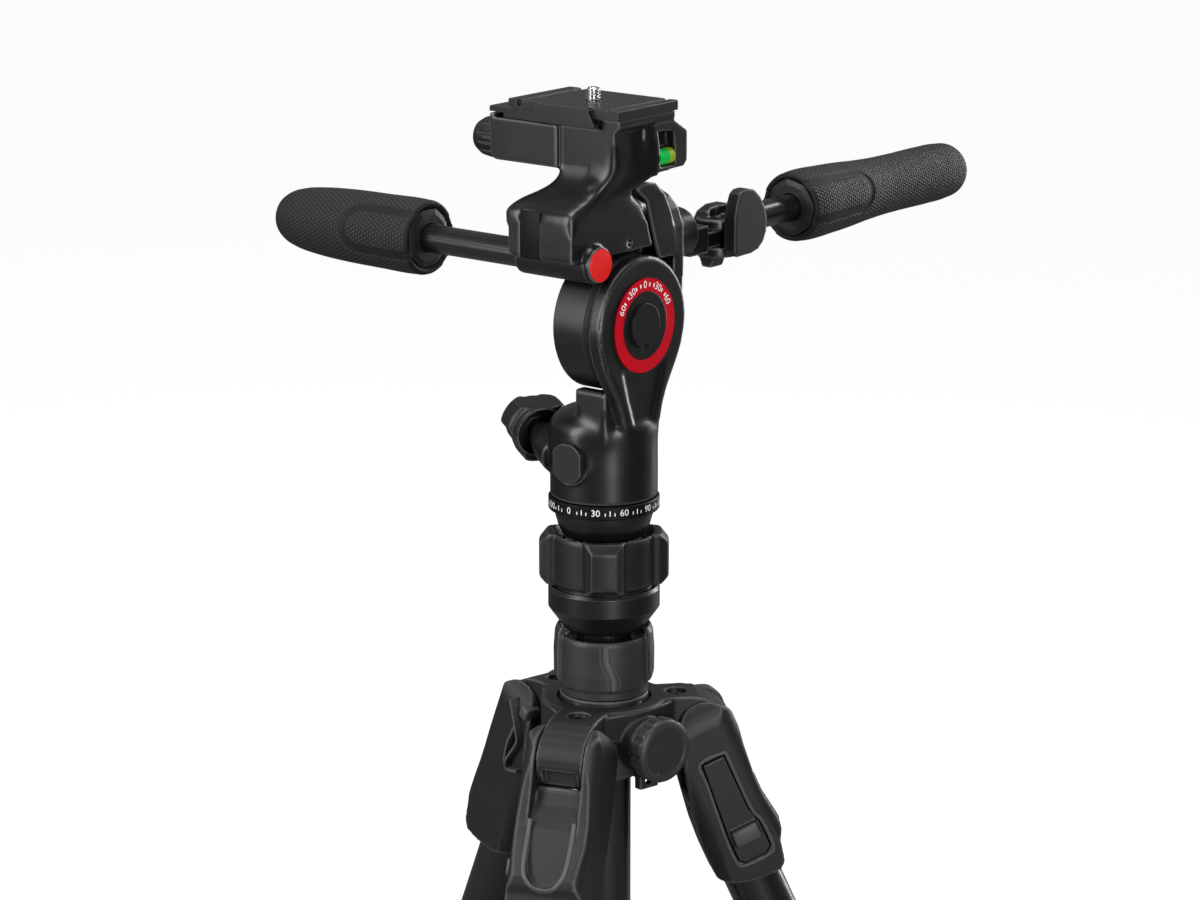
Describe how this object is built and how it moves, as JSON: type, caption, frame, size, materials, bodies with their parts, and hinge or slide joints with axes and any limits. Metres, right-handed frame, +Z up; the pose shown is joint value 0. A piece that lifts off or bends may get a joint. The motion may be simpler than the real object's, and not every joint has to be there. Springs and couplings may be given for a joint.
{
  "type": "photo tripod with three-way head",
  "caption": "Travel tripod with fluid three-way head, levelling centre column, quick-release plate, side handle and pan bar, legs pushed in",
  "frame": {"origin": "on the floor under the centre column's axis, legs spread 24 degrees and pushed in", "axes": "+Z up along the centre column, +X along the tilt axis towards the red scale ring, +Y towards the person holding the pan bar (the lens points to -Y)"},
  "size_m": [0.3494, 0.4669, 0.6569],
  "materials": {
    "cast": "satin black paint over die-cast metal",
    "plastic": "matt black glass-filled nylon",
    "grip": "dimpled black rubber",
    "tube": "black anodised drawn tube",
    "steel": "turned steel",
    "screw": "bright nickel plated thread",
    "seat": "acetal friction shell",
    "red": "red printed plastic",
    "band": "black band with a pale printed scale",
    "vial": "green liquid in clear plastic",
    "vial_end": "yellow-green end plug",
    "foot": "black rubber"
  },
  "bodies": {
    "base": {"spider": "cast", "leg_pivot_bolts": "steel"},
    "accessory_cap": {"accessory_cap": "plastic"},
    "column_lock": {"column_lock_ring": "plastic"},
    "column": {"column_tube": "tube", "column_end_cap": "plastic", "levelling_cup": "cast"},
    "level_ring": {"levelling_clamp_ring": "plastic"},
    "level_seat": {"ball_seat": "seat"},
    "level_ball": {"levelling_ball": "steel", "pan_base": "cast", "pan_scale_band": "band"},
    "pan": {"pan_body": "cast", "pan_access_cap": "plastic", "tilt_scale_ring": "red", "tilt_hub_cap": "plastic"},
    "pan_lock": {"pan_lock_knob": "plastic"},
    "tilt": {"tilt_drum": "cast", "tilt_yoke": "cast", "side_tilt_axle": "steel"},
    "side": {"carriage": "cast", "bubble_vial": "vial", "vial_end": "vial_end", "side_handle_cap": "red"},
    "jaw": {"clamp_jaw": "cast"},
    "jaw_knob": {"clamp_knob": "plastic"},
    "plate": {"plate": "cast"},
    "screw": {"plate_screw": "screw"},
    "side_handle": {"side_handle_tube": "tube", "side_handle_grip": "grip"},
    "clevis": {"bar_clevis": "cast", "bar_pivot_pin": "steel"},
    "clevis_lever": {"bar_lever": "plastic"},
    "pan_bar": {"bar_tube": "tube", "bar_grip": "grip"},
    "leg_a": {"casting_a": "cast", "tube_upper_a": "tube"},
    "lock_upper_a": {"lock_upper_a": "plastic"},
    "leg_mid_a": {"tube_mid_a": "tube"},
    "lock_lower_a": {"lock_lower_a": "plastic"},
    "leg_low_a": {"tube_lower_a": "tube", "foot_a": "foot"},
    "angle_lever_a": {"angle_lever_a": "plastic"},
    "leg_b": {"casting_b": "cast", "tube_upper_b": "tube"},
    "lock_upper_b": {"lock_upper_b": "plastic"},
    "leg_mid_b": {"tube_mid_b": "tube"},
    "lock_lower_b": {"lock_lower_b": "plastic"},
    "leg_low_b": {"tube_lower_b": "tube", "foot_b": "foot"},
    "angle_lever_b": {"angle_lever_b": "plastic"},
    "leg_c": {"casting_c": "cast", "tube_upper_c": "tube"},
    "lock_upper_c": {"lock_upper_c": "plastic"},
    "leg_mid_c": {"tube_mid_c": "tube"},
    "lock_lower_c": {"lock_lower_c": "plastic"},
    "leg_low_c": {"tube_lower_c": "tube", "foot_c": "foot"},
    "angle_lever_c": {"angle_lever_c": "plastic"}
  },
  "joints": [
    {"name": "accessory_cap_turn", "type": "hinge", "parent": "base", "child": "accessory_cap", "pos_m": [0, 0, 0.38067], "axis": [0.9808, -0.1951, 0], "continuous": true},
    {"name": "column_lock_turn", "type": "hinge", "parent": "base", "child": "column_lock", "pos_m": [0, 0, 0.41217], "axis": [0, 0, 1], "range_deg": [0, 90]},
    {"name": "column_slide", "type": "slide", "parent": "base", "child": "column", "axis": [0, 0, 1], "range_m": [0, 0.24]},
    {"name": "level_ring_turn", "type": "hinge", "parent": "column", "child": "level_ring", "pos_m": [0, 0, 0.45667], "axis": [0, 0, 1], "range_deg": [0, 90]},
    {"name": "level_side_to_side", "type": "hinge", "parent": "column", "child": "level_seat", "pos_m": [0, 0, 0.45667], "axis": [1, 0, 0], "range_deg": [-5, 5]},
    {"name": "level_front_to_back", "type": "hinge", "parent": "level_seat", "child": "level_ball", "pos_m": [0, 0, 0.45667], "axis": [0, 1, 0], "range_deg": [-5, 5]},
    {"name": "pan_turn", "type": "hinge", "parent": "level_ball", "child": "pan", "pos_m": [0, 0, 0.48517], "axis": [0, 0, 1], "continuous": true},
    {"name": "pan_lock_turn", "type": "hinge", "parent": "pan", "child": "pan_lock", "pos_m": [-0.033, -0.001, 0.50612], "axis": [-0.8637, 0.4592, 0.2079], "range_deg": [0, 180]},
    {"name": "tilt_turn", "type": "hinge", "parent": "pan", "child": "tilt", "pos_m": [0, 0, 0.56027], "axis": [1, 0, 0], "range_deg": [-45, 80]},
    {"name": "side_tilt_turn", "type": "hinge", "parent": "tilt", "child": "side", "pos_m": [-0.0055, 0, 0.58767], "axis": [0, 1, 0], "range_deg": [-45, 0]},
    {"name": "side_handle_twist", "type": "hinge", "parent": "side", "child": "side_handle", "pos_m": [-0.04, -0.0244, 0.58887], "axis": [1, 0, 0], "range_deg": [0, 180]},
    {"name": "clamp_knob_turn", "type": "hinge", "parent": "side", "child": "jaw_knob", "pos_m": [-0.055, 0, 0.63067], "axis": [-1, 0, 0], "range_deg": [0, 720]},
    {"name": "clamp_jaw_slide", "type": "slide", "parent": "side", "child": "jaw", "axis": [-1, 0, 0], "range_m": [0, 0.004]},
    {"name": "plate_slide", "type": "slide", "parent": "side", "child": "plate", "axis": [0, -1, 0], "range_m": [0, 0.04]},
    {"name": "camera_screw_turn", "type": "hinge", "parent": "plate", "child": "screw", "pos_m": [-0.00575, 0, 0.65187], "axis": [0, 0, 1], "continuous": true},
    {"name": "bar_angle_turn", "type": "hinge", "parent": "tilt", "child": "clevis", "pos_m": [-0.0055, 0.05, 0.58767], "axis": [0, 1, 0], "range_deg": [-90, 90]},
    {"name": "bar_fold", "type": "hinge", "parent": "clevis", "child": "pan_bar", "pos_m": [-0.0055, 0.085, 0.58617], "axis": [0, 0, 1], "range_deg": [0, 90]},
    {"name": "clevis_lever_turn", "type": "hinge", "parent": "pan_bar", "child": "clevis_lever", "pos_m": [0.005, 0.097, 0.58187], "axis": [1, 0, 0], "range_deg": [-30, 60]},
    {"name": "leg_fold_a", "type": "hinge", "parent": "base", "child": "leg_a", "pos_m": [0.01382, -0.04072, 0.38067], "axis": [-0.9469, -0.3214, 0], "range_deg": [-24, 111]},
    {"name": "lock_upper_turn_a", "type": "hinge", "parent": "leg_a", "child": "lock_upper_a", "pos_m": [0.05305, -0.15628, 0.08691], "axis": [0.1307, -0.3852, -0.9135], "range_deg": [0, 90]},
    {"name": "leg_mid_slide_a", "type": "slide", "parent": "leg_a", "child": "leg_mid_a", "axis": [0.1307, -0.3852, -0.9135], "range_m": [0, 0.24]},
    {"name": "lock_lower_turn_a", "type": "hinge", "parent": "leg_mid_a", "child": "lock_lower_a", "pos_m": [0.05841, -0.17207, 0.04945], "axis": [0.1307, -0.3852, -0.9135], "range_deg": [0, 90]},
    {"name": "leg_low_slide_a", "type": "slide", "parent": "leg_mid_a", "child": "leg_low_a", "axis": [0.1307, -0.3852, -0.9135], "range_m": [0, 0.24]},
    {"name": "angle_lever_press_a", "type": "hinge", "parent": "leg_a", "child": "angle_lever_a", "pos_m": [0.00219, -0.05375, 0.35276], "axis": [0.2936, -0.8651, 0.4067], "range_deg": [0, 4], "stiffness_Nm_per_rad": 0.3, "springref_deg": -8.59},
    {"name": "leg_fold_b", "type": "hinge", "parent": "base", "child": "leg_b", "pos_m": [0.02835, 0.03233, 0.38067], "axis": [0.7518, -0.6593, 0], "range_deg": [-24, 111]},
    {"name": "lock_upper_turn_b", "type": "hinge", "parent": "leg_b", "child": "lock_upper_b", "pos_m": [0.10881, 0.12408, 0.08691], "axis": [0.2682, 0.3058, -0.9135], "range_deg": [0, 90]},
    {"name": "leg_mid_slide_b", "type": "slide", "parent": "leg_b", "child": "leg_mid_b", "axis": [0.2682, 0.3058, -0.9135], "range_m": [0, 0.24]},
    {"name": "lock_lower_turn_b", "type": "hinge", "parent": "leg_mid_b", "child": "lock_lower_b", "pos_m": [0.11981, 0.13662, 0.04945], "axis": [0.2682, 0.3058, -0.9135], "range_deg": [0, 90]},
    {"name": "leg_low_slide_b", "type": "slide", "parent": "leg_mid_b", "child": "leg_low_b", "axis": [0.2682, 0.3058, -0.9135], "range_m": [0, 0.24]},
    {"name": "angle_lever_press_b", "type": "hinge", "parent": "leg_b", "child": "angle_lever_b", "pos_m": [0.04545, 0.02877, 0.35276], "axis": [0.6023, 0.6868, 0.4067], "range_deg": [0, 4], "stiffness_Nm_per_rad": 0.3, "springref_deg": -8.59},
    {"name": "leg_fold_c", "type": "hinge", "parent": "base", "child": "leg_c", "pos_m": [-0.04217, 0.00839, 0.38067], "axis": [0.1951, 0.9808, 0], "range_deg": [-24, 111]},
    {"name": "lock_upper_turn_c", "type": "hinge", "parent": "leg_c", "child": "lock_upper_c", "pos_m": [-0.16186, 0.0322, 0.08691], "axis": [-0.3989, 0.0794, -0.9135], "range_deg": [0, 90]},
    {"name": "leg_mid_slide_c", "type": "slide", "parent": "leg_c", "child": "leg_mid_c", "axis": [-0.3989, 0.0794, -0.9135], "range_m": [0, 0.24]},
    {"name": "lock_lower_turn_c", "type": "hinge", "parent": "leg_mid_c", "child": "lock_lower_c", "pos_m": [-0.17822, 0.03545, 0.04945], "axis": [-0.3989, 0.0794, -0.9135], "range_deg": [0, 90]},
    {"name": "leg_low_slide_c", "type": "slide", "parent": "leg_mid_c", "child": "leg_low_c", "axis": [-0.3989, 0.0794, -0.9135], "range_m": [0, 0.24]},
    {"name": "angle_lever_press_c", "type": "hinge", "parent": "leg_c", "child": "angle_lever_c", "pos_m": [-0.04764, 0.02497, 0.35276], "axis": [-0.896, 0.1782, 0.4067], "range_deg": [0, 4], "stiffness_Nm_per_rad": 0.3, "springref_deg": -8.59}
  ],
  "couplings": [
    {"joint": "clamp_knob_turn", "follows": "clamp_jaw_slide", "rad_per_m": 3141.6}
  ]
}
